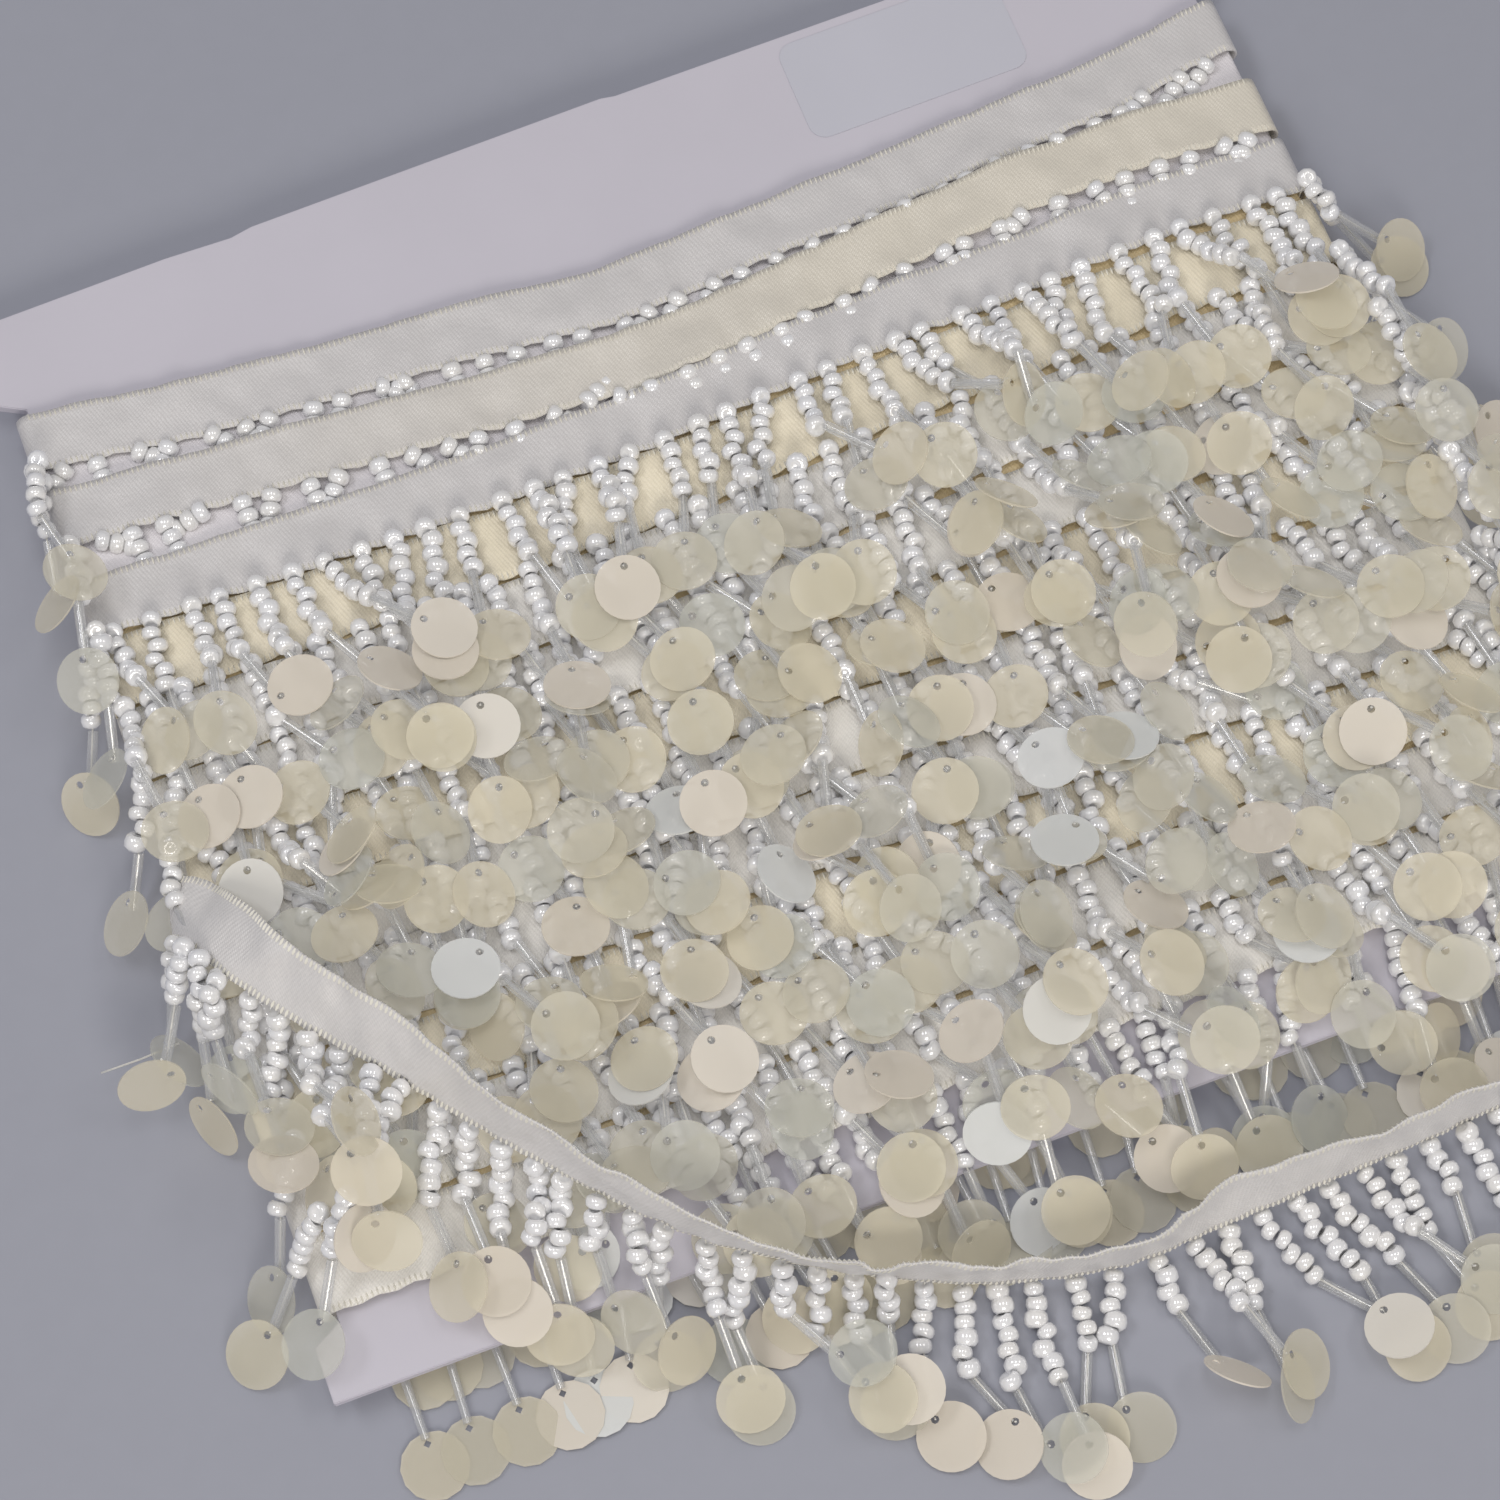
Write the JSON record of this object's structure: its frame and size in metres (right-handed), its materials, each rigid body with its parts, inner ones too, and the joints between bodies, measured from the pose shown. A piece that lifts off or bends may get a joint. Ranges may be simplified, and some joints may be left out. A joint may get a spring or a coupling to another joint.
{
  "type": "beaded fringe trim wound on a reel card",
  "caption": "Satin ribbon edged with strands of pearl beads, a bugle and a round paillette, wound round a reel card, its loose end swagged across the front.",
  "frame": {"origin": "middle of the whole part's box, on the surface the card lies on", "axes": "+Z out of the card's front face, +Y up the card to its head, +X along the ribbon turns"},
  "size_m": [0.1856, 0.1936, 0.0229],
  "materials": {
    "card": "off-white board with a faint coated sheen",
    "wound_ribbon": "satin ribbon in white and cream, with ridged selvedges",
    "loose_ribbon": "white satin ribbon with ridged selvedges",
    "row_fringe": "pearl-lustre seed beads, clear glass bugles and matte translucent paillettes",
    "loose_fringe": "pearl-lustre seed beads, clear glass bugles and matte translucent paillettes"
  },
  "bodies": {
    "root": {"card": "card", "wound_ribbon": "wound_ribbon", "fringe_row_03": "row_fringe", "fringe_row_04": "row_fringe", "fringe_row_05": "row_fringe", "fringe_row_06": "row_fringe", "fringe_row_07": "row_fringe", "fringe_row_08": "row_fringe", "fringe_row_09": "row_fringe", "fringe_row_10": "row_fringe", "fringe_row_11": "row_fringe", "fringe_row_12": "row_fringe", "fringe_left_side": "row_fringe", "fringe_right_side": "row_fringe", "loose_ribbon": "loose_ribbon", "loose_fringe_left": "loose_fringe", "loose_fringe_bend": "loose_fringe", "loose_fringe_right": "loose_fringe"}
  },
  "joints": []
}
